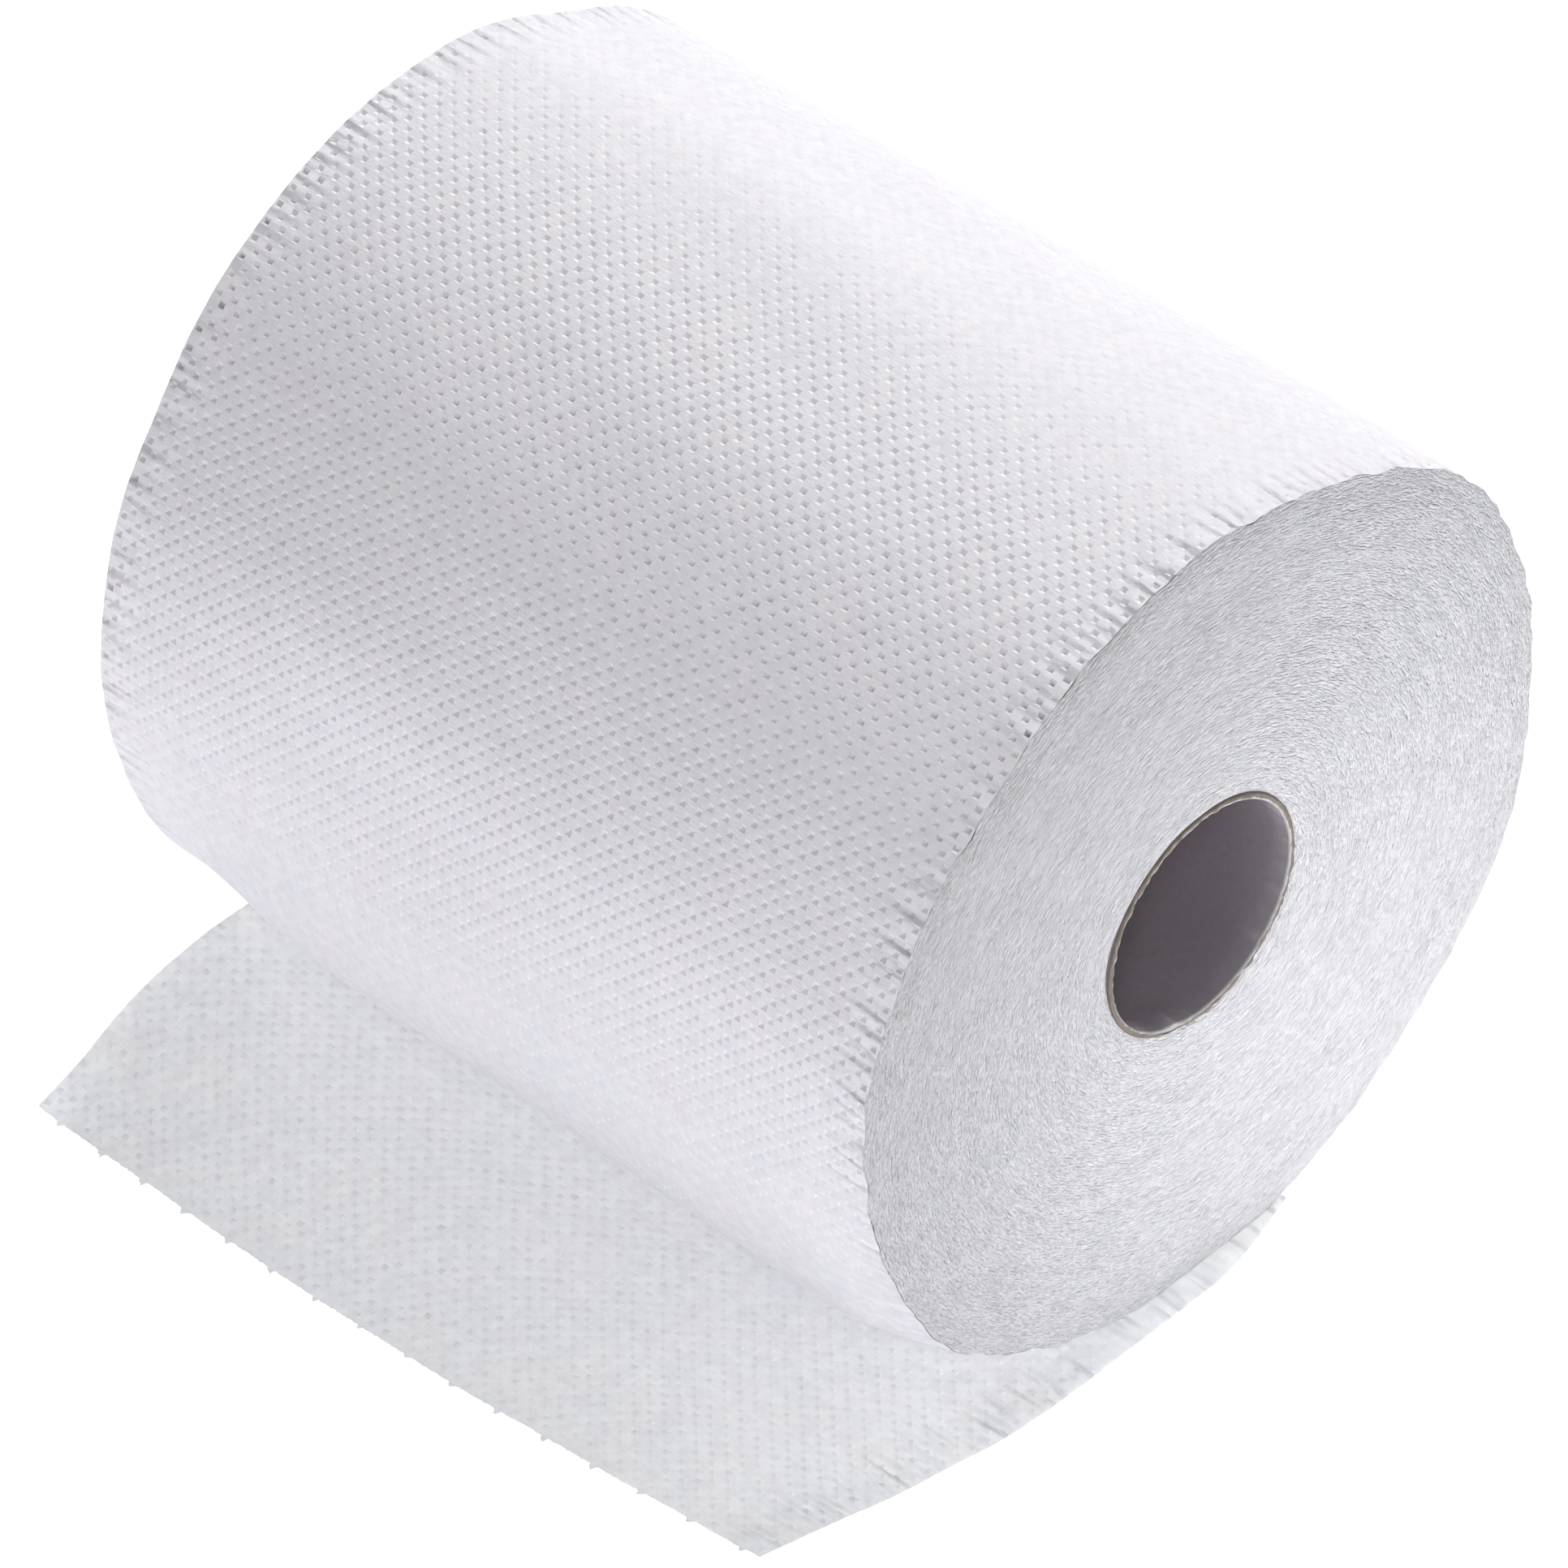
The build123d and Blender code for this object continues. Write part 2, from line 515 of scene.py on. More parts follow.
@dataclass(frozen=True)
class EmbossedTissue:
    """Two-ply paper towel: creped cellulose tissue, embossed between steel rollers.

    Bleached fibre scatters nearly all light, so it is a matt, slightly cool white. The crepe
    gives fine ridges along the roll's axis, and the felted fibres a soft mottling. Loose fibre
    has no gloss, so the specular level is 0. A single sheet also lets light through, and
    lets_through is that share.
    """

    name: str = "embossed_bleached_tissue"
    light_hex: str = "#F1F0F4"
    shade_hex: str = "#E7E6EB"
    warm_hex: str = "#F3EDEF"
    cool_hex: str = "#E9EBF3"
    cast_share: float = 0.22
    roughness: float = 0.93
    ior: float = 1.47
    specular: float = 0.0
    mottle_size: float = 2.6
    tint_size: float = 11.0
    grain_spread: tuple[float, float] = (0.3, 0.7)
    crepe_size: float = 0.55
    crepe_stretch: float = 0.4
    crepe_height: float = 0.04
    pucker_size: float = 2.6
    pucker_stretch: float = 0.14
    pucker_height: float = 1.2
    pucker_start: float = 87.0
    pucker_end: float = 100.0
    lets_through: float = 0.0

    def build(self) -> bpy.types.Material:
        """Build the finish.

        Returns:
            The material.
        """
        material, tree = new_material(self.name)
        place = add_node(tree, "ShaderNodeTexCoord").outputs["Object"]
        mottle = self._noise(tree, place, self.mottle_size, detail=1.0)
        tint = self._noise(tree, place, self.tint_size, detail=0.0)
        tone = add_node(
            tree,
            "ShaderNodeMix",
            {0: mottle, 6: linear(self.light_hex), 7: linear(self.shade_hex)},
            data_type="RGBA",
        )
        cast = add_node(
            tree,
            "ShaderNodeMix",
            {0: tint, 6: linear(self.warm_hex), 7: linear(self.cool_hex)},
            data_type="RGBA",
        )
        colour = add_node(
            tree,
            "ShaderNodeMix",
            {0: self.cast_share, 6: tone.outputs[2], 7: cast.outputs[2]},
            data_type="RGBA",
        )
        relief = self._relief(tree, place)
        shader = add_node(
            tree,
            "ShaderNodeBsdfPrincipled",
            {
                "Base Color": colour.outputs[2],
                "Roughness": self.roughness,
                "IOR": self.ior,
                "Specular IOR Level": self.specular,
                "Normal": relief,
            },
        )
        if self.lets_through:
            through = add_node(
                tree, "ShaderNodeBsdfTranslucent", {"Color": colour.outputs[2], "Normal": relief}
            )
            shader = add_node(
                tree,
                "ShaderNodeMixShader",
                {0: self.lets_through, 1: shader.outputs[0], 2: through.outputs[0]},
            )
        add_node(tree, "ShaderNodeOutputMaterial", {"Surface": shader.outputs[0]})
        return material

    def _noise(
        self, tree: bpy.types.NodeTree, place: bpy.types.NodeSocket, size: float, detail: float
    ) -> bpy.types.NodeSocket:
        """Add a noise whose grains have a size in millimetres.

        Args:
            tree: Node tree that takes it.
            place: Socket with the place in metres.
            size: Size of a grain.
            detail: Octaves of finer grain.

        Returns:
            The noise's value, spread to about 0 to 1.
        """
        noise = add_node(
            tree,
            "ShaderNodeTexNoise",
            {"Vector": place, "Scale": 1 / (size * MM), "Detail": detail, "Roughness": 0.6},
        )
        low, high = self.grain_spread
        spread = add_node(
            tree,
            "ShaderNodeMapRange",
            {"Value": noise.outputs[0], "From Min": low, "From Max": high},
        )
        return spread.outputs[0]

    def _relief(
        self, tree: bpy.types.NodeTree, place: bpy.types.NodeSocket
    ) -> bpy.types.NodeSocket:
        """Add the crepe, and the puckers near the cut rims.

        Crepe of 0.3 mm is too fine for the picture, so it is drawn coarser.

        Args:
            tree: Node tree that takes it.
            place: Socket with the place in metres.

        Returns:
            The bumped normal.
        """
        along_crepe, along_pucker = (
            add_node(
                tree, "ShaderNodeVectorMath", {0: place, 1: (1.0, s, 1.0)}, operation="MULTIPLY"
            ).outputs[0]
            for s in (self.crepe_stretch, self.pucker_stretch)
        )
        crepe = self._noise(tree, along_crepe, self.crepe_size, detail=0.0)
        pucker = self._noise(tree, along_pucker, self.pucker_size, detail=0.0)
        along = add_node(tree, "ShaderNodeSeparateXYZ", {0: place}).outputs[1]
        from_middle = add_node(tree, "ShaderNodeMath", {0: along}, operation="ABSOLUTE")
        near_rim = add_node(
            tree,
            "ShaderNodeMapRange",
            {
                "Value": from_middle.outputs[0],
                "From Min": self.pucker_start * MM,
                "From Max": self.pucker_end * MM,
            },
            interpolation_type="SMOOTHSTEP",
        )
        puckers = add_node(
            tree,
            "ShaderNodeMath",
            {0: pucker, 1: near_rim.outputs[0]},
            operation="MULTIPLY",
        )
        fine = add_node(
            tree,
            "ShaderNodeBump",
            {"Distance": self.crepe_height * MM, "Height": crepe, "Strength": 1.0},
        )
        broad = add_node(
            tree,
            "ShaderNodeBump",
            {
                "Distance": self.pucker_height * MM,
                "Height": puckers.outputs[0],
                "Normal": fine.outputs[0],
                "Strength": 1.0,
            },
        )
        return broad.outputs[0]


@dataclass(frozen=True)
class SawnTissueEdges:
    """Cut edges of some hundreds of tissue turns, sawn through at once.

    The saw leaves lint and short torn fibres that follow the turns, so the face is matt and
    slightly greyer than the sheet, with fine strokes that run round a centre between the
    core's axis and the roll's. Its colours are also painted darker than the lint alone makes
    them: painted shade for the shadow that falls among the turns' torn edges. A single turn is
    too thin to show, so the strokes are drawn coarser.
    """

    name: str = "sawn_tissue_turns_painted_shade"
    # light_hex and shade_hex are painted darker than the cut tissue itself: painted shade for the
    # shadow among the torn fibres.
    light_hex: str = "#CCCCCF"
    shade_hex: str = "#B7B7BB"
    roughness: float = 0.95
    ior: float = 1.47
    specular: float = 0.0
    stroke_length: float = 1.5
    stroke_width: float = 0.4
    stroke_height: float = 0.9
    band_length: float = 8.0
    band_width: float = 2.4
    band_height: float = 0.3
    band_share: float = 0.5
    shade_spread: tuple[float, float] = (0.55, 1.0)
    centre: tuple[float, float] = (1.5, -1.3)

    def build(self) -> bpy.types.Material:
        """Build the finish.

        Returns:
            The material.
        """
        material, tree = new_material(self.name)
        strokes = self._strokes(tree, self.stroke_length, self.stroke_width)
        bands = self._strokes(tree, self.band_length, self.band_width)
        both = add_node(
            tree,
            "ShaderNodeMath",
            {0: bands, 1: self.band_share, 2: strokes},
            operation="MULTIPLY_ADD",
        )
        low, high = self.shade_spread
        shade = add_node(
            tree,
            "ShaderNodeMapRange",
            {"Value": both.outputs[0], "From Min": low, "From Max": high},
        )
        colour = add_node(
            tree,
            "ShaderNodeMix",
            {0: shade.outputs[0], 6: linear(self.light_hex), 7: linear(self.shade_hex)},
            data_type="RGBA",
        )
        fine = add_node(
            tree,
            "ShaderNodeBump",
            {"Distance": self.stroke_height * MM, "Height": strokes, "Strength": 1.0},
        )
        broad = add_node(
            tree,
            "ShaderNodeBump",
            {
                "Distance": self.band_height * MM,
                "Height": bands,
                "Normal": fine.outputs[0],
                "Strength": 1.0,
            },
        )
        shader = add_node(
            tree,
            "ShaderNodeBsdfPrincipled",
            {
                "Base Color": colour.outputs[2],
                "Roughness": self.roughness,
                "IOR": self.ior,
                "Specular IOR Level": self.specular,
                "Normal": broad.outputs[0],
            },
        )
        add_node(tree, "ShaderNodeOutputMaterial", {"Surface": shader.outputs[0]})
        return material

    def _strokes(
        self, tree: bpy.types.NodeTree, length: float, width: float
    ) -> bpy.types.NodeSocket:
        """Add a noise drawn out round the core.

        Args:
            tree: Node tree that takes it.
            length: Length of a stroke round the core.
            width: Width of a stroke outwards.

        Returns:
            The noise's value.
        """
        place = add_node(tree, "ShaderNodeTexCoord").outputs["Object"]
        level = add_node(
            tree,
            "ShaderNodeVectorMath",
            {0: place, 1: (-self.centre[0] * MM, 0.0, -self.centre[1] * MM)},
            operation="ADD",
        )
        flat = add_node(
            tree,
            "ShaderNodeVectorMath",
            {0: level.outputs[0], 1: (1.0, 0.0, 1.0)},
            operation="MULTIPLY",
        ).outputs[0]
        radius = add_node(tree, "ShaderNodeVectorMath", {0: flat}, operation="LENGTH")
        parts = add_node(tree, "ShaderNodeSeparateXYZ", {0: flat})
        outwards = add_node(
            tree,
            "ShaderNodeMath",
            {0: radius.outputs["Value"], 1: length / width},
            operation="MULTIPLY",
        )
        joined = add_node(
            tree,
            "ShaderNodeCombineXYZ",
            {0: parts.outputs[0], 1: outwards.outputs[0], 2: parts.outputs[2]},
        )
        noise = add_node(
            tree,
            "ShaderNodeTexNoise",
            {
                "Vector": joined.outputs[0],
                "Scale": 1 / (length * MM),
                "Detail": 1.0,
                "Roughness": 0.55,
                "Distortion": 0.5,
            },
        )
        return noise.outputs[0]


@dataclass(frozen=True)
class GreyCoreBoard:
    """Spiral-wound grey board of recycled pulp, with a paler liner inside.

    Pressed pulp is smooth and faintly satin, and the sawn rim shows its rough brown plies.
    """

    name: str = "spiral_wound_grey_board"
    liner_hex: str = "#948E95"
    fleck_hex: str = "#847E83"
    ply_hex: str = "#6A6058"
    pale_hex: str = "#AFADAE"
    seam_hex: str = "#7C787B"
    roughness: float = 0.62
    ior: float = 1.5
    specular: float = 0.35
    bore_radius: float = 24.0
    liner_thickness: float = 0.5
    rim_place: float = 99.5
    seam_pitch: float = 72.0
    seam_share: float = 0.012
    seam_height: float = 0.12
    fleck_size: float = 1.4
    fleck_height: float = 0.05
    ply_start: float = 0.3
    fray: float = 0.7

    def build(self) -> bpy.types.Material:
        """Build the finish.

        Returns:
            The material.
        """
        material, tree = new_material(self.name)
        place = add_node(tree, "ShaderNodeTexCoord").outputs["Object"]
        parts = add_node(tree, "ShaderNodeSeparateXYZ", {0: place})
        pulp = add_node(
            tree,
            "ShaderNodeTexNoise",
            {"Vector": place, "Scale": 1 / (self.fleck_size * MM), "Detail": 4.0},
        )
        seam = self._seam(tree, parts)
        liner = add_node(
            tree,
            "ShaderNodeMix",
            {0: pulp.outputs[0], 6: linear(self.liner_hex), 7: linear(self.fleck_hex)},
            data_type="RGBA",
        )
        lined = add_node(
            tree,
            "ShaderNodeMix",
            {0: seam, 6: liner.outputs[2], 7: linear(self.seam_hex)},
            data_type="RGBA",
        )
        colour = self._rim(tree, place, parts, lined.outputs[2], pulp.outputs[0])
        grain = add_node(
            tree,
            "ShaderNodeBump",
            {"Distance": self.fleck_height * MM, "Height": pulp.outputs[0], "Strength": 1.0},
        )
        step = add_node(
            tree,
            "ShaderNodeBump",
            {
                "Distance": self.seam_height * MM,
                "Height": seam,
                "Normal": grain.outputs[0],
                "Strength": 1.0,
            },
        )
        shader = add_node(
            tree,
            "ShaderNodeBsdfPrincipled",
            {
                "Base Color": colour,
                "Roughness": self.roughness,
                "IOR": self.ior,
                "Specular IOR Level": self.specular,
                "Normal": step.outputs[0],
            },
        )
        add_node(tree, "ShaderNodeOutputMaterial", {"Surface": shader.outputs[0]})
        return material

    def _seam(self, tree: bpy.types.NodeTree, parts: bpy.types.Node) -> bpy.types.NodeSocket:
        """Add the seam where the liner's edges meet as it winds along the core.

        Args:
            tree: Node tree that takes it.
            parts: Node with the place's three parts.

        Returns:
            1 on the seam and 0 off it.
        """
        angle = add_node(
            tree, "ShaderNodeMath", {0: parts.outputs[2], 1: parts.outputs[0]}, operation="ARCTAN2"
        )
        turn = add_node(
            tree, "ShaderNodeMath", {0: angle.outputs[0], 1: 1 / math.tau}, operation="MULTIPLY"
        )
        wound = add_node(
            tree,
            "ShaderNodeMath",
            {0: parts.outputs[1], 1: 1 / (self.seam_pitch * MM), 2: turn.outputs[0]},
            operation="MULTIPLY_ADD",
        )
        share = add_node(tree, "ShaderNodeMath", {0: wound.outputs[0]}, operation="FRACT")
        on_seam = add_node(
            tree,
            "ShaderNodeMath",
            {0: share.outputs[0], 1: self.seam_share},
            operation="LESS_THAN",
        )
        return on_seam.outputs[0]

    def _rim(
        self,
        tree: bpy.types.NodeTree,
        place: bpy.types.NodeSocket,
        parts: bpy.types.Node,
        bore: bpy.types.NodeSocket,
        pulp: bpy.types.NodeSocket,
    ) -> bpy.types.NodeSocket:
        """Colour the sawn rims: the liner's pale ring, then brown plies.

        Args:
            tree: Node tree that takes it.
            place: Socket with the place in metres.
            parts: Node with the place's three parts.
            bore: Colour of the bore.
            pulp: Noise of the pulp.

        Returns:
            The colour of the whole core.
        """
        flat = add_node(
            tree, "ShaderNodeVectorMath", {0: place, 1: (1.0, 0.0, 1.0)}, operation="MULTIPLY"
        )
        radius = add_node(
            tree, "ShaderNodeVectorMath", {0: flat.outputs[0]}, operation="LENGTH"
        ).outputs["Value"]
        frayed = add_node(
            tree,
            "ShaderNodeMath",
            {0: pulp, 1: self.fray * MM, 2: radius},
            operation="MULTIPLY_ADD",
        )
        liner_edge = self.bore_radius + self.liner_thickness
        in_plies = add_node(
            tree,
            "ShaderNodeMapRange",
            {
                "Value": frayed.outputs[0],
                "From Min": liner_edge * MM,
                "From Max": (liner_edge + self.ply_start) * MM,
            },
        )
        cut = add_node(
            tree,
            "ShaderNodeMix",
            {0: in_plies.outputs[0], 6: linear(self.pale_hex), 7: linear(self.ply_hex)},
            data_type="RGBA",
        )
        from_middle = add_node(
            tree, "ShaderNodeMath", {0: parts.outputs[1]}, operation="ABSOLUTE"
        )
        at_rim = add_node(
            tree,
            "ShaderNodeMath",
            {0: from_middle.outputs[0], 1: self.rim_place * MM},
            operation="GREATER_THAN",
        )
        return add_node(
            tree,
            "ShaderNodeMix",
            {0: at_rim.outputs[0], 6: bore, 7: cut.outputs[2]},
            data_type="RGBA",
        ).outputs[2]


@dataclass(frozen=True)
class OpalPanel:
    """Cast opal acrylic, lit a little from below as a light table is: even, matt and white."""

    name: str = "cast_opal_acrylic"
    panel_hex: str = "#F7F7F9"
    glow_hex: str = "#FAFAFD"
    glow: float = 0.6
    roughness: float = 0.9
    specular: float = 0.2
    peel_size: float = 4.0
    peel_height: float = 0.02

    def build(self) -> bpy.types.Material:
        """Build the finish.

        Returns:
            The material.
        """
        material, tree = new_material(self.name)
        place = add_node(tree, "ShaderNodeTexCoord").outputs["Object"]
        peel = add_node(
            tree,
            "ShaderNodeTexNoise",
            {"Vector": place, "Scale": 1 / (self.peel_size * MM), "Detail": 0.0},
        )
        relief = add_node(
            tree,
            "ShaderNodeBump",
            {"Distance": self.peel_height * MM, "Height": peel.outputs[0], "Strength": 0.5},
        )
        shader = add_node(
            tree,
            "ShaderNodeBsdfPrincipled",
            {
                "Base Color": linear(self.panel_hex),
                "Emission Color": linear(self.glow_hex),
                "Emission Strength": self.glow,
                "Roughness": self.roughness,
                "Specular IOR Level": self.specular,
                "Normal": relief.outputs[0],
            },
        )
        add_node(tree, "ShaderNodeOutputMaterial", {"Surface": shader.outputs[0]})
        return material


# Pieces of the roll


@dataclass
class OuterTurn:
    """The roll's outermost turn: embossed, crimped at both rims and folded in over them.

    The depth shares list how deep the pits are at each angle, in degrees, as shares of the
    usual depth. They are a guess, matched to how faint or clear the marks look there.
    """

    form: RollForm
    finish: bpy.types.Material
    columns: int = 288
    rows: int = 100
    pit_depth: float = 0.62
    depth_shares: tuple[tuple[float, float], ...] = (
        (-180, 0.62), (-168, 0.42), (-158, 0.28), (-145, 0.24), (-90, 0.3), (-20, 0.3),
        (45, 0.34), (68, 0.31), (82, 0.33), (92, 0.45), (100, 0.66), (108, 0.92), (116, 1.2),
        (124, 1.35), (132, 1.3), (142, 1.08), (150, 1.0), (164, 1.05), (173, 0.8), (180, 0.62),
    )
    depth_reach: float = 5.0
    rim_gain: float = 0.4
    crimp_reach: float = 12.0
    far_calm_share: float = 0.25
    lips: tuple[tuple[float, float], ...] = ((0.3, 0.25), (1.2, 3.0))
    soft: Ripple = Ripple(height=0.3, length=55.0, stretch=1.6, seed=11)
    crimp: Ripple = Ripple(height=0.26, length=9.0, stretch=3.0, waves=20, seed=12)

    def build(self) -> bpy.types.Object:
        """Build the skin.

        Returns:
            The piece.
        """
        lattice = PitLattice(self.columns, self.rows, closed=True)
        cells = lattice.lay()
        mouth = lattice.mouth_share
        half = self.form.half_width - self.form.rim_inset
        angle = math.tau * cells.column / self.columns
        along = -half + (cells.row + 1 - mouth) * 2 * half / (self.rows + 1 - 2 * mouth)
        points = self.form.place(angle, along, self._out(angle, along, cells.dip))
        faces = [face[::-1] for face in cells.faces]
        for edge, end in ((cells.first_row, End.NEAR), (cells.last_row, End.FAR)):
            points, lip_faces = self._lip(points, angle[edge], edge, end)
            faces += lip_faces
        piece = make_piece("outer_turn", points, faces, self.finish, crease=20.0)
        return seat(piece, Node.ROLL)

    def _out(self, angle: np.ndarray, along: np.ndarray, dip: np.ndarray) -> np.ndarray:
        """Work out how far the skin's points stand out from the pressed shape.

        Args:
            angle: Angles round the roll, in radians.
            along: Places along the roll.
            dip: Shares of a pit's depth.

        Returns:
            Heights in millimetres.
        """
        form = self.form
        from_rim = form.half_width - np.abs(along)
        rim_share = np.clip(1 - from_rim / self.crimp_reach, 0, 1) ** 2
        rim_share = rim_share * np.where(along < 0, 1.0, self.far_calm_share)
        out = self.soft.at(angle, along, form.radius)
        out += self.crimp.at(angle, along, form.radius) * rim_share
        shares = eased(np.degrees(angle), *zip(*self.depth_shares), self.depth_reach, 360)
        return out - self.pit_depth * shares * dip * (1 + self.rim_gain * rim_share)

    def _lip(
        self, points: np.ndarray, angle: np.ndarray, edge: list[int], end: End
    ) -> tuple[np.ndarray, list[tuple[int, ...]]]:
        """Fold the skin in over one cut end.

        Args:
            points: Points of the skin so far.
            angle: Angles of the edge's points.
            edge: Numbers of the edge's points, in order round the roll.
            end: Which end.

        Returns:
            All points, and the lip's faces.
        """
        rings, faces = [np.array(edge)], []
        for inset, drop in self.lips:
            reach = self.form.half_width - self.form.rim_inset - inset
            along = np.full(len(edge), end.value * reach)
            first = len(points)
            level = self._out(angle, along, np.zeros(len(edge))) - drop
            points = np.vstack((points, self.form.place(angle, along, level)))
            rings.append(np.arange(first, first + len(edge)))
        for low, high in zip(rings, rings[1:]):
            for a, b, c, d in zip(low, np.roll(low, -1), np.roll(high, -1), high):
                quad = (int(a), int(b), int(c), int(d))
                faces.append(quad if end is End.NEAR else quad[::-1])
        return points, faces


@dataclass
class CutEnd:
    """One sawn end of the roll: the edges of its turns, from the core out to the rim."""

    form: RollForm
    finish: bpy.types.Material
    end: End
    hub_radius: float = 25.35
    middle_radius: float = 60.0
    rings: int = 92
    segments: int = 720
    rim_round: float = 8.0
    rim_gap: float = 0.06
    rim_calm: float = 2.0
    hub_round: float = 2.0
    hub_fall: float = 0.5
    first_seed: int = 30
    crimp: Ripple = OuterTurn.crimp
    soft: Ripple = OuterTurn.soft

    def build(self) -> bpy.types.Object:
        """Build the face.

        Returns:
            The piece.
        """
        form, side = self.form, self.end.value
        seed = self.first_seed + side
        angle = np.linspace(0, math.tau, self.segments, endpoint=False)
        share = np.linspace(0, 1, self.rings + 1)[:, None]
        rim_along = np.full(self.segments, side * form.half_width)
        ruffle = Ripple(height=0.04, length=3.2, waves=24, seed=seed)
        ruffle = ruffle.at(angle, rim_along, form.radius)
        calm = 1.0 if self.end is End.NEAR else OuterTurn.far_calm_share
        crimp = self.crimp.at(angle, rim_along, form.radius) * calm
        soft = self.soft.at(angle, rim_along, form.radius)
        rim = form.place(angle, rim_along, soft + crimp + ruffle - self.rim_gap)
        x = self.hub_radius * np.cos(angle) * (1 - share) + rim[:, 0] * share
        z = self.hub_radius * np.sin(angle) * (1 - share) + rim[:, 2] * share
        span = form.radius - self.hub_radius
        from_rim, from_hub = (1 - share) * span, share * span
        rise = self._turns(angle, share * span, seed)
        rise = rise * np.clip(from_rim / self.rim_calm, 0.3, 1)
        rise = rise - form.rim_inset * np.clip(1 - from_rim / self.rim_round, 0, 1) ** 2
        rise = rise - self.hub_fall * np.clip(1 - from_hub / self.hub_round, 0, 1) ** 2
        y = side * (form.half_width + rise)
        points = np.column_stack([a.ravel() for a in (x, y, z)])
        faces = grid_faces(self.rings + 1, self.segments, flip=side > 0)
        name = f"{self.end.name.lower()}_end"
        piece = make_piece(name, points, faces, self.finish)
        return seat(piece, Node.ROLL)

    def _turns(self, angle: np.ndarray, out: np.ndarray, seed: int) -> np.ndarray:
        """Work out the uneven standing of the turns' edges.

        Args:
            angle: Angles round the core, in radians.
            out: Distances from the core.
            seed: Seed of this end's waves.

        Returns:
            Heights in millimetres.
        """
        broad = Ripple(height=0.16, length=60.0, stretch=0.4, seed=seed)
        turns = Ripple(height=0.035, length=16.0, stretch=0.15, waves=26, seed=seed + 1)
        return sum(ripple.at(angle, out, self.middle_radius) for ripple in (broad, turns))


@dataclass
class FreeSheet:
    """The first sheet: pressed under the roll, then free as far as its torn edge.

    Each station gives a place across the floor and how high the sheet's near edge, its
    middle and its far edge stand there. The lift is where the sheet comes free of the floor:
    from there its waves and emboss marks grow over the lift's reach.
    """

    form: RollForm
    finish: bpy.types.Material
    columns: int = 73
    rows: int = 101
    thickness: float = 0.35
    bump_height: float = 0.42
    bump_growth: float = 0.3
    root_x: float = 26.0
    tear_x: tuple[float, float, float] = (-120.7, -121.6, -116.9)
    stations: tuple[tuple[float, float, float, float], ...] = (
        (-122, 20.9, 8.6, 0.0), (-112, 17.4, 8.9, 0.2), (-102, 13.7, 9.0, 0.8),
        (-92, 10.6, 8.5, 4.6), (-80, 7.4, 6.8, 7.5), (-68, 4.4, 4.3, 8.7),
        (-57, 1.7, 2.2, 8.5), (-44, 0.1, 0.9, 6.2), (-30, 0.0, 0.2, 2.0),
        (-18, 0.0, 0.0, 0.0), (18, 0.0, 0.0, 0.0), (22, 0.8, 0.8, 0.8), (26, 1.9, 1.9, 1.9),
    )
    near_edge: tuple[tuple[float, float], ...] = (
        (-122, -103.9), (-48, -104.1), (-13, -104.6), (5, -104.7), (12, -103.2),
        (20, -101.2), (30, -99.8),
    )
    far_edge: tuple[tuple[float, float], ...] = (
        (-122, 90.2), (-112, 92.3), (-100, 94.4), (-85, 95.6), (-48, 95.8), (-20, 97.5),
        (26, 99.8),
    )
    bend_reach: float = 5.0
    far_bend_reach: float = 8.0
    lift_x: float = -22.0
    lift_reach: float = 40.0
    least_rise: float = 0.02
    wave: Ripple = Ripple(height=0.22, length=34.0, stretch=1.4, seed=21)
    fringe: int = 4
    fringe_reach: float = 0.7
    fringe_spread: tuple[float, float] = (0.55, 1.0)
    fringe_seed: int = 5
    bond_pitch: float = 12.5
    bond_offset: float = 3.0
    bond_width: float = 1.3
    bond_reach: float = 1.1
    bond_spread: tuple[float, float] = (0.5, 1.2)
    flat_size: tuple[float, float] = (200.0, 150.0)

    def build(self, floor: bpy.types.Object) -> bpy.types.Object:
        """Build the sheet.

        Args:
            floor: What the sheet lies on. Not used.

        Returns:
            The piece.
        """
        cells = PitLattice(self.columns, self.rows, closed=False, seed=8).lay()
        column, row, dip, faces = self._tear(cells)
        upper = self._lay(column, row, dip)
        lower = upper - np.array((0.0, 0.0, self.thickness))
        count = len(upper)
        shell = [face[::-1] for face in faces]
        shell += [tuple(n + count for n in face) for face in faces]
        shell += [(b, a, a + count, b + count) for a, b in self._outline(shell[: len(faces)])]
        points = np.vstack((upper, lower))
        piece = make_piece("free_sheet", points, shell, self.finish, crease=20.0)
        seat(piece, Node.ROLL)
        return piece

    def _lay(self, column: np.ndarray, row: np.ndarray, dip: np.ndarray) -> np.ndarray:
        """Lay the flat sheet's points out in space.

        Args:
            column: Places from the root to the tear, in half pitches.
            row: Places from the near edge to the far one, in half pitches.
            dip: Shares of an emboss mark's depth.

        Returns:
            One row of X, Y and Z for each point of the upper side.
        """
        mouth = PitLattice.mouth_share
        run = (column + 1 - mouth) / (self.columns + 1 - 2 * mouth)
        share = (row + 1 - mouth) / (self.rows + 1 - 2 * mouth)
        tear = self._across(share, *self.tear_x)
        x = self.root_x + (tear - self.root_x) * run
        near = eased(x, *zip(*self.near_edge), self.bend_reach)
        far = eased(x, *zip(*self.far_edge), self.far_bend_reach)
        y = near + (far - near) * share
        places, *heights = zip(*self.stations)
        rise = self._across(share, *(eased(x, places, h, self.bend_reach) for h in heights))
        free = np.clip((self.lift_x - x) / self.lift_reach, 0, 1)
        rise = rise + free * self.wave.at(x / self.form.radius, y, self.form.radius)
        rise = np.maximum(rise, self.least_rise) + free**self.bump_growth * self.bump_height * dip
        return np.column_stack((x, y, self.form.floor_z + self.thickness + rise))

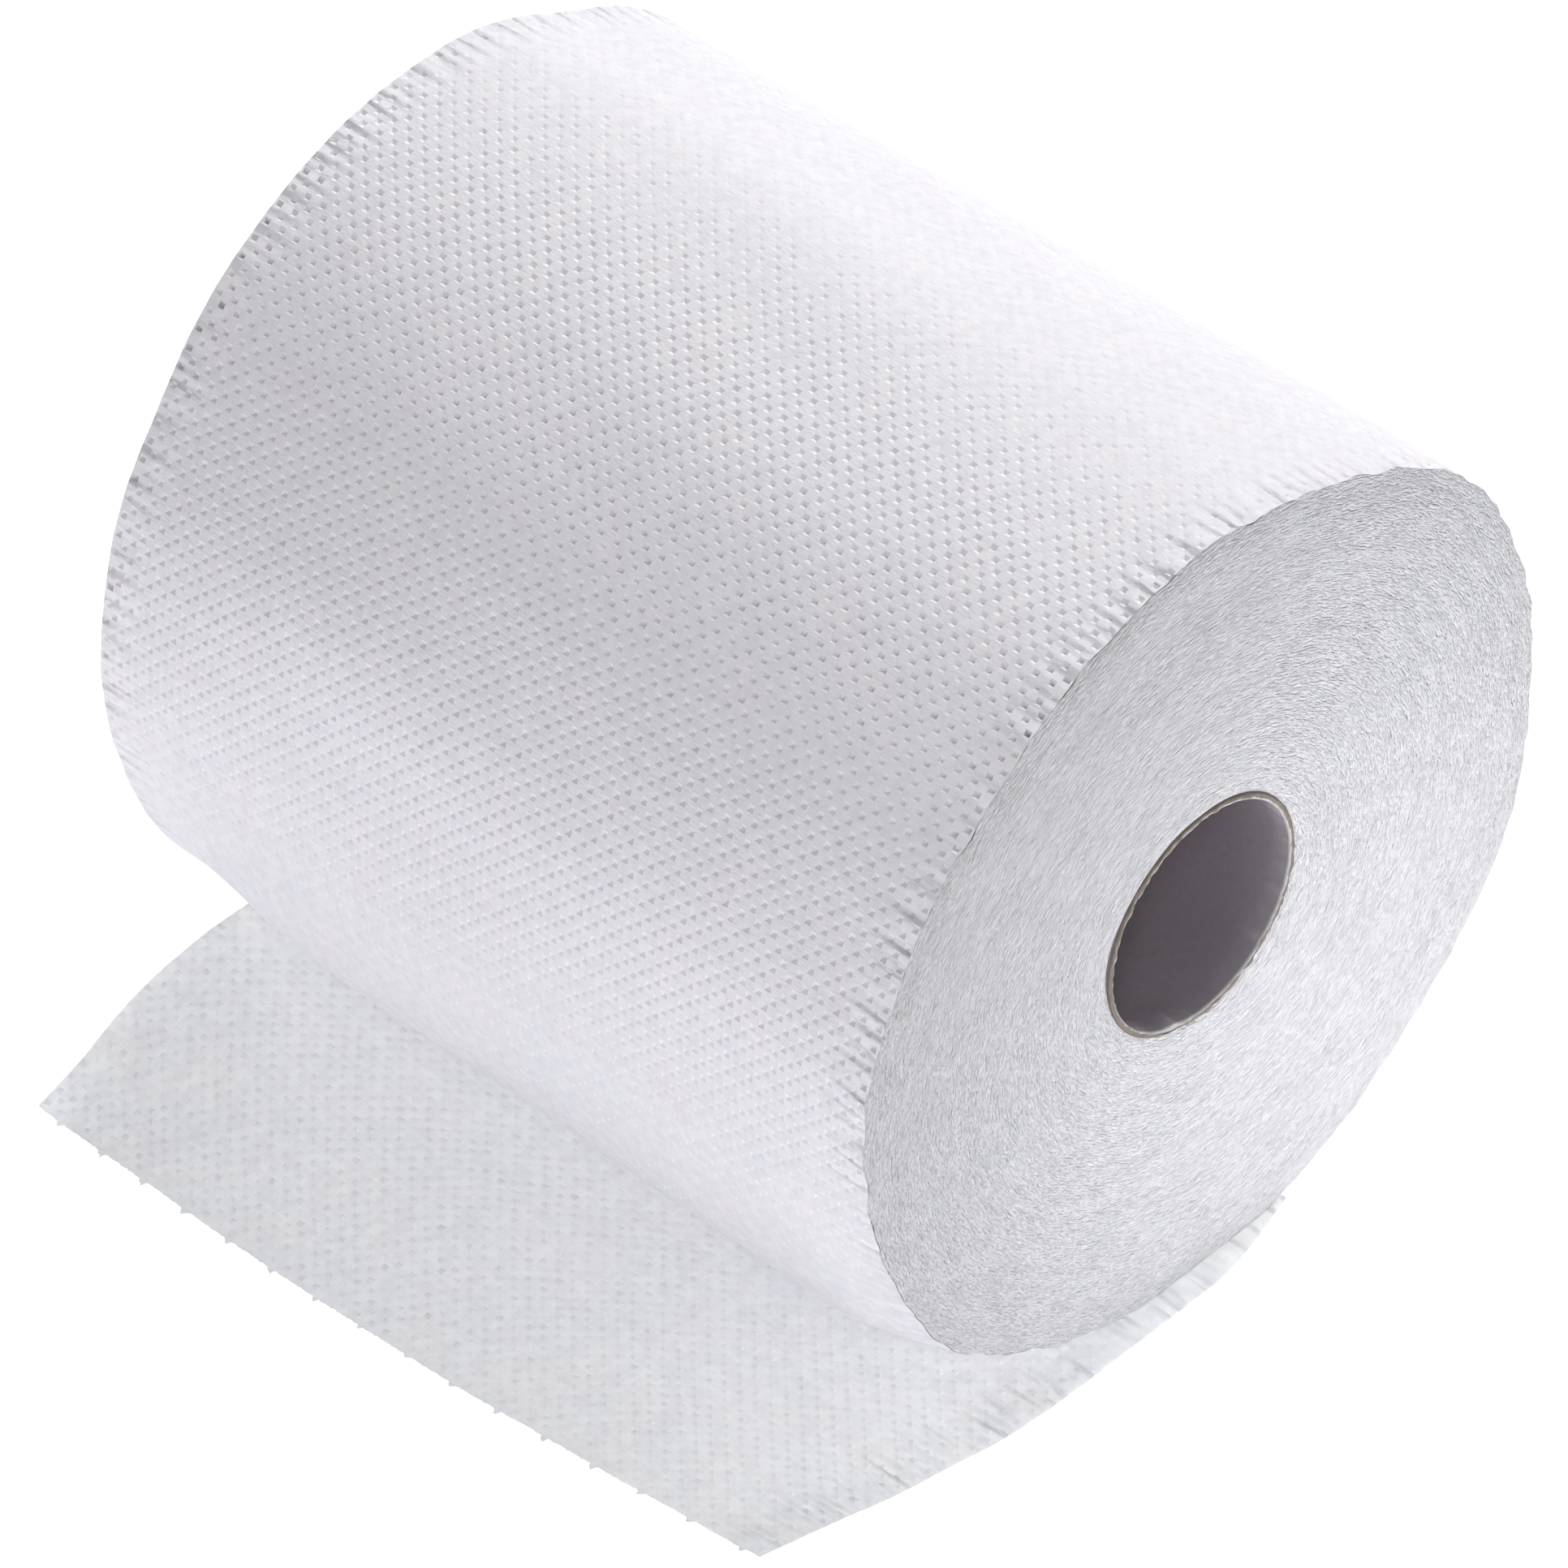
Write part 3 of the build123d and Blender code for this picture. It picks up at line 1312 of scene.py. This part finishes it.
    def _across(
        self,
        share: np.ndarray,
        near: np.ndarray | float,
        middle: np.ndarray | float,
        far: np.ndarray | float,
    ) -> np.ndarray:
        """Bend a value across the sheet through its near edge, middle and far edge.

        Args:
            share: Places across, from 0 at the near edge to 1 at the far one.
            near: Value at the near edge.
            middle: Value in the middle.
            far: Value at the far edge.

        Returns:
            The values.
        """
        return (
            near * (1 - share) * (1 - 2 * share)
            + middle * 4 * share * (1 - share)
            + far * share * (2 * share - 1)
        )

    def _tear(
        self, cells: Cells
    ) -> tuple[np.ndarray, np.ndarray, np.ndarray, list[tuple[int, ...]]]:
        """Add the ragged strip along the torn perforation.

        Args:
            cells: The embossed sheet.

        Returns:
            Columns, rows, dips and faces with the strip.
        """
        rng = np.random.default_rng(self.fringe_seed)
        pitch = (self.root_x - self.tear_x[1]) / (self.columns + 1)
        width = 2 * self.form.half_width / (self.rows + 1)
        columns, rows = [], []
        faces = list(cells.faces)
        first = len(cells.column)
        edge = cells.last_column
        for k, number in enumerate(edge):
            after = edge[min(k + 1, len(edge) - 1)]
            for step in range(self.fringe if k + 1 < len(edge) else 1):
                share = step / self.fringe
                row = cells.row[number] * (1 - share) + cells.row[after] * share
                place = (row * width + self.bond_offset) % self.bond_pitch
                off_bond = abs(place - self.bond_pitch / 2)
                reach = self.fringe_reach * rng.uniform(*self.fringe_spread)
                if off_bond < self.bond_width / 2:
                    reach += self.bond_reach * rng.uniform(*self.bond_spread)
                columns.append(cells.column[number] + reach / pitch)
                rows.append(row)
            if k + 1 < len(edge):
                start = first + k * self.fringe
                fine = range(start, start + self.fringe + 1)
                faces.append((edge[k + 1], number, *fine))
        return (
            np.append(cells.column, columns),
            np.append(cells.row, rows),
            np.append(cells.dip, np.zeros(len(columns))),
            faces,
        )

    def _outline(self, faces: list[tuple[int, ...]]) -> list[tuple[int, int]]:
        """Find the edges that only one face uses.

        Args:
            faces: Faces of one side.

        Returns:
            The edges, each in its face's direction.
        """
        edges = {(a, b) for face in faces for a, b in zip(face, face[1:] + face[:1])}
        return [(a, b) for a, b in edges if (b, a) not in edges]


@dataclass
class Core:
    """The cardboard core: a spiral-wound tube with sawn, slightly frayed rims."""

    finish: bpy.types.Material
    bore_radius: float = 24.0
    wall: float = 1.3
    half_length: float = 100.0
    segments: int = 256
    bore_steps: int = 40
    outer_steps: int = 8
    rim_steps: int = 5
    edge_break: float = 0.25
    rim_shares: tuple[float, float] = (0.15, 0.85)
    fray: Ripple = Ripple(height=0.11, length=3.0, waves=22, seed=41)
    fray_step: float = 4.0
    sway: Ripple = Ripple(height=0.06, length=60.0, stretch=2.0, waves=8, seed=42)
    dent_angle: float = -108.0
    dent_width: float = 9.0
    dent_depth: float = 0.5
    dent_reach: float = 6.0

    def build(self) -> bpy.types.Object:
        """Build the tube.

        Returns:
            The piece.
        """
        angle = np.linspace(0, math.tau, self.segments, endpoint=False)
        loop = self._section()
        rings = []
        for radius, along, rim in loop:
            level = np.full(self.segments, along)
            reach = radius + self.sway.at(angle, level, radius)
            if abs(along) > self.half_length - self.dent_reach:
                reach = reach - self._dent(angle)
            frayed = self.fray.at(angle, reach * self.fray_step, radius)
            y = level + rim * math.copysign(1, along) * frayed
            rings.append(np.column_stack((reach * np.cos(angle), y, reach * np.sin(angle))))
        points = np.vstack(rings)
        faces = grid_faces(len(loop), self.segments, flip=True)
        last = (len(loop) - 1) * self.segments
        for i in range(self.segments):
            j = (i + 1) % self.segments
            faces.append((i, j, last + j, last + i))
        piece = make_piece("core_board_tube", points, faces, self.finish)
        return seat(piece, Node.CORE)

    def _section(self) -> list[tuple[float, float, float]]:
        """Lay out the wall's section as a closed loop.

        Returns:
            Radius, place along the core and share of fray for each ring.
        """
        outer = self.bore_radius + self.wall
        inset = self.half_length - self.edge_break
        loop = [(outer, y, 0.0) for y in np.linspace(-inset, inset, self.outer_steps)]
        shares = np.linspace(*self.rim_shares, self.rim_steps)
        loop += [(outer - s * self.wall, self.half_length, 1.0) for s in shares]
        loop += [
            (self.bore_radius, y, 0.0) for y in np.linspace(inset, -inset, self.bore_steps)
        ]
        loop += [(self.bore_radius + s * self.wall, -self.half_length, 1.0) for s in shares]
        return loop

    def _dent(self, angle: np.ndarray) -> np.ndarray:
        """Depth of the small dent at the bottom of the rims."""
        off = (np.degrees(angle) - self.dent_angle + 180) % 360 - 180
        return self.dent_depth * np.exp(-((off / self.dent_width) ** 2))


# Studio


@dataclass(frozen=True)
class Lamp:
    """One soft square light that faces the roll, placed in metres."""

    name: str
    place: tuple[float, float, float]
    size: float
    power: float
    colour_hex: str = "#FFFFFF"

    def build(self) -> bpy.types.Object:
        """Build the light.

        Returns:
            The linked light.
        """
        data = bpy.data.lights.new(self.name, "AREA")
        data.shape = "SQUARE"
        data.size = self.size
        data.energy = self.power
        data.color = linear(self.colour_hex)[:3]
        lamp = bpy.data.objects.new(self.name, data)
        lamp.location = self.place
        lamp.rotation_euler = (-Vector(self.place)).to_track_quat("-Z", "Y").to_euler()
        bpy.context.scene.collection.objects.link(lamp)
        return lamp


@dataclass
class Studio:
    """White floor, soft light and the camera at the photograph's angle.

    The lamps' places and sizes are in metres and their powers in watts. The camera is given by
    the point that it looks at, its angles and its distance.
    """

    form: RollForm
    floor_start: float = 200.0
    floor_reach: float = 30000.0
    floor_rings: int = 9
    floor_sides: int = 96
    air_hex: str = "#F5F5FA"
    air_strength: float = 0.04
    lamps: tuple[Lamp, ...] = (
        Lamp("key_softbox", (1.5, 0.4, 1.7), 0.9, 36.6),
        Lamp("overhead_softbox", (0.75, 0.5, 2.1), 1.6, 8.5),
        Lamp("front_left_fill", (-1.3, -1.3, 1.5), 0.6, 16.0),
        Lamp("low_left_fill", (-2.0, -0.3, 0.3), 0.6, 5.7),
        Lamp("front_right_fill", (1.2, -1.0, 1.2), 0.8, 5.0),
        Lamp("end_face_lamp", (0.045, -0.26, -0.062), 0.05, 0.21),
    )
    aim: tuple[float, float, float] = (-40.034, -33.248, 17.466)
    azimuth: float = -45.92
    elevation: float = 42.55
    roll: float = 0.6
    distance: float = 1830.0
    lens: float = 231.19
    sensor: float = 36.0
    sight: float = 100.0

    def build(self) -> bpy.types.Object:
        """Build the studio.

        Returns:
            The floor.
        """
        scene = bpy.context.scene
        scene.view_settings.view_transform = "Standard"
        self._air(scene)
        for lamp in self.lamps:
            lamp.build()
        scene.camera = self._camera()
        scene.collection.objects.link(scene.camera)
        return self._floor()

    def _floor(self) -> bpy.types.Object:
        """Lay the floor as a wide round sheet of rings.

        Returns:
            The floor.
        """
        reaches = np.geomspace(self.floor_start, self.floor_reach, self.floor_rings)
        angle = np.linspace(0, math.tau, self.floor_sides, endpoint=False)
        rings = [
            np.column_stack((r * np.cos(angle), r * np.sin(angle), angle * 0 + self.form.floor_z))
            for r in reaches
        ]
        faces = grid_faces(len(reaches), self.floor_sides, flip=True)
        faces.append(tuple(range(self.floor_sides)))
        floor = make_piece("studio_floor", np.vstack(rings), faces, OpalPanel().build())
        return floor

    def _air(self, scene: bpy.types.Scene) -> None:
        """Fill the room with even, slightly cool light.

        Args:
            scene: The scene that gets the world.
        """
        world = bpy.data.worlds.new("studio_air")
        world.use_nodes = True
        tree = world.node_tree
        tree.nodes.clear()
        air = add_node(
            tree,
            "ShaderNodeBackground",
            {"Color": linear(self.air_hex), "Strength": self.air_strength},
        )
        add_node(tree, "ShaderNodeOutputWorld", {"Surface": air.outputs[0]})
        scene.world = world

    def _camera(self) -> bpy.types.Object:
        """Set the camera up from the photograph's angles.

        Returns:
            The camera.
        """
        data = bpy.data.cameras.new("photo_camera")
        data.lens = self.lens
        data.sensor_width = self.sensor
        data.clip_end = self.sight
        turn, lift, roll = (math.radians(a) for a in (self.azimuth, self.elevation, self.roll))
        back = Vector(
            (math.sin(turn) * math.cos(lift), -math.cos(turn) * math.cos(lift), math.sin(lift))
        )
        right = Vector((math.cos(turn), math.sin(turn), 0.0))
        up = back.cross(right)
        level_right = right * math.cos(roll) - up * math.sin(roll)
        level_up = up * math.cos(roll) + right * math.sin(roll)
        camera = bpy.data.objects.new("photo_camera", data)
        place = (Vector(self.aim) + back * self.distance) * MM
        axes = Matrix((level_right, level_up, back)).transposed()
        camera.matrix_world = Matrix.Translation(place) @ axes.to_4x4()
        return camera


def main() -> None:
    """Build the studio and the roll."""
    logging.basicConfig(level=logging.INFO, format="%(message)s")
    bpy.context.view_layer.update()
    form = RollForm()
    tissue = EmbossedTissue().build()
    # The free sheet takes the outer turn's tissue with lighter colours: painted light that
    # brightens the sheet where the roll shades it.
    lightened_sheet_tissue = EmbossedTissue(
        "loose_bleached_tissue_painted_lighter",
        "#F9FAF9",
        "#F1F1F2",
        "#F8F6F6",
        "#F2F3F6",
        lets_through=0.68,
    ).build()
    edges = SawnTissueEdges().build()
    board = GreyCoreBoard().build()
    floor = Studio(form).build()
    OuterTurn(form, tissue).build()
    for end in End:
        CutEnd(form, edges, end).build()
    FreeSheet(form, lightened_sheet_tissue).build(floor)
    Core(board).build()


if __name__ == "__main__":
    main()
